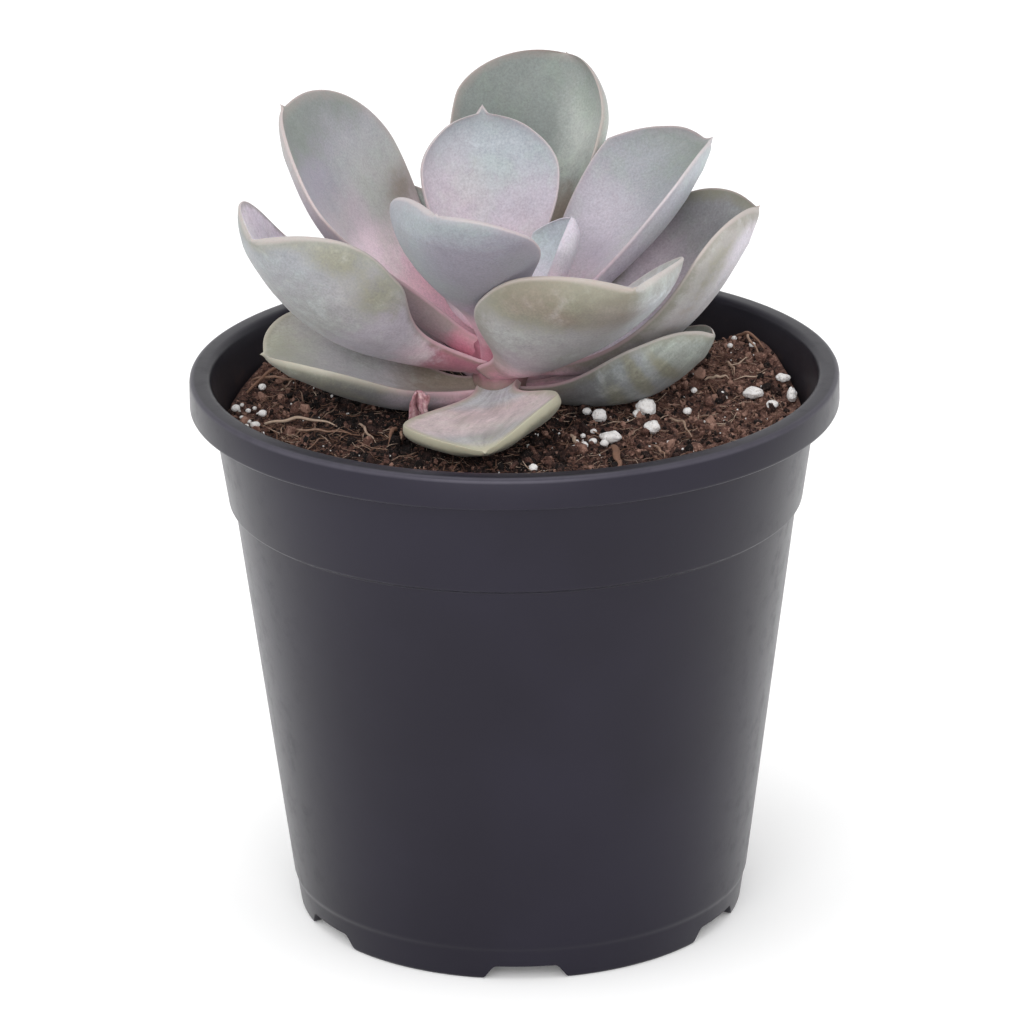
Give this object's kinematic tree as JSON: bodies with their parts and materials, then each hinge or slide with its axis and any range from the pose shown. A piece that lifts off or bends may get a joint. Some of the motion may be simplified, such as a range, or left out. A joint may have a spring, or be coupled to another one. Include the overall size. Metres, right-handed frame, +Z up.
{
  "type": "potted succulent rosette",
  "caption": "Loose rosette of broad, spoon-shaped succulent leaves on a short stem, growing in peat in a dark plastic nursery pot with a rolled rim and a notched foot.",
  "frame": {"origin": "on the pot's axis at the level of its foot, where the pot stands", "axes": "+Z up along the pot's axis; -Y is the side the front leaf droops towards; +X is to the right seen from there"},
  "size_m": [0.12, 0.12, 0.1492],
  "materials": {
    "pot_plastic": "satin",
    "peat": "matte",
    "stem_bark": "matte",
    "leaf_lavender": "matte",
    "leaf_grey_green": "matte",
    "leaf_olive": "matte",
    "perlite": "matte",
    "withered": "matte"
  },
  "bodies": {
    "root": {"pot": "pot_plastic", "soil": "peat", "stem": "stem_bark", "leaf_heart_tip": "leaf_lavender", "leaf_heart_left": "leaf_lavender", "leaf_heart_right": "leaf_lavender", "leaf_centre_back": "leaf_lavender", "leaf_centre_front": "leaf_lavender", "leaf_left_tall": "leaf_lavender", "leaf_right_tall": "leaf_lavender", "leaf_front_drooping": "leaf_lavender", "leaf_back_tall": "leaf_grey_green", "leaf_right_outer": "leaf_grey_green", "leaf_back_right_low": "leaf_grey_green", "leaf_back_left": "leaf_grey_green", "leaf_front_right": "leaf_olive", "leaf_left_outer": "leaf_olive", "leaf_left_low": "leaf_olive", "leaf_right_low": "leaf_olive", "leaf_back_low": "leaf_olive", "perlite_right_large": "perlite", "perlite_right_front": "perlite", "perlite_by_front_leaf": "perlite", "perlite_front_flat": "perlite", "perlite_far_right": "perlite", "perlite_edge_flat": "perlite", "perlite_edge_tall": "perlite", "perlite_edge_small": "perlite", "withered_scrap": "withered"}
  },
  "joints": []
}
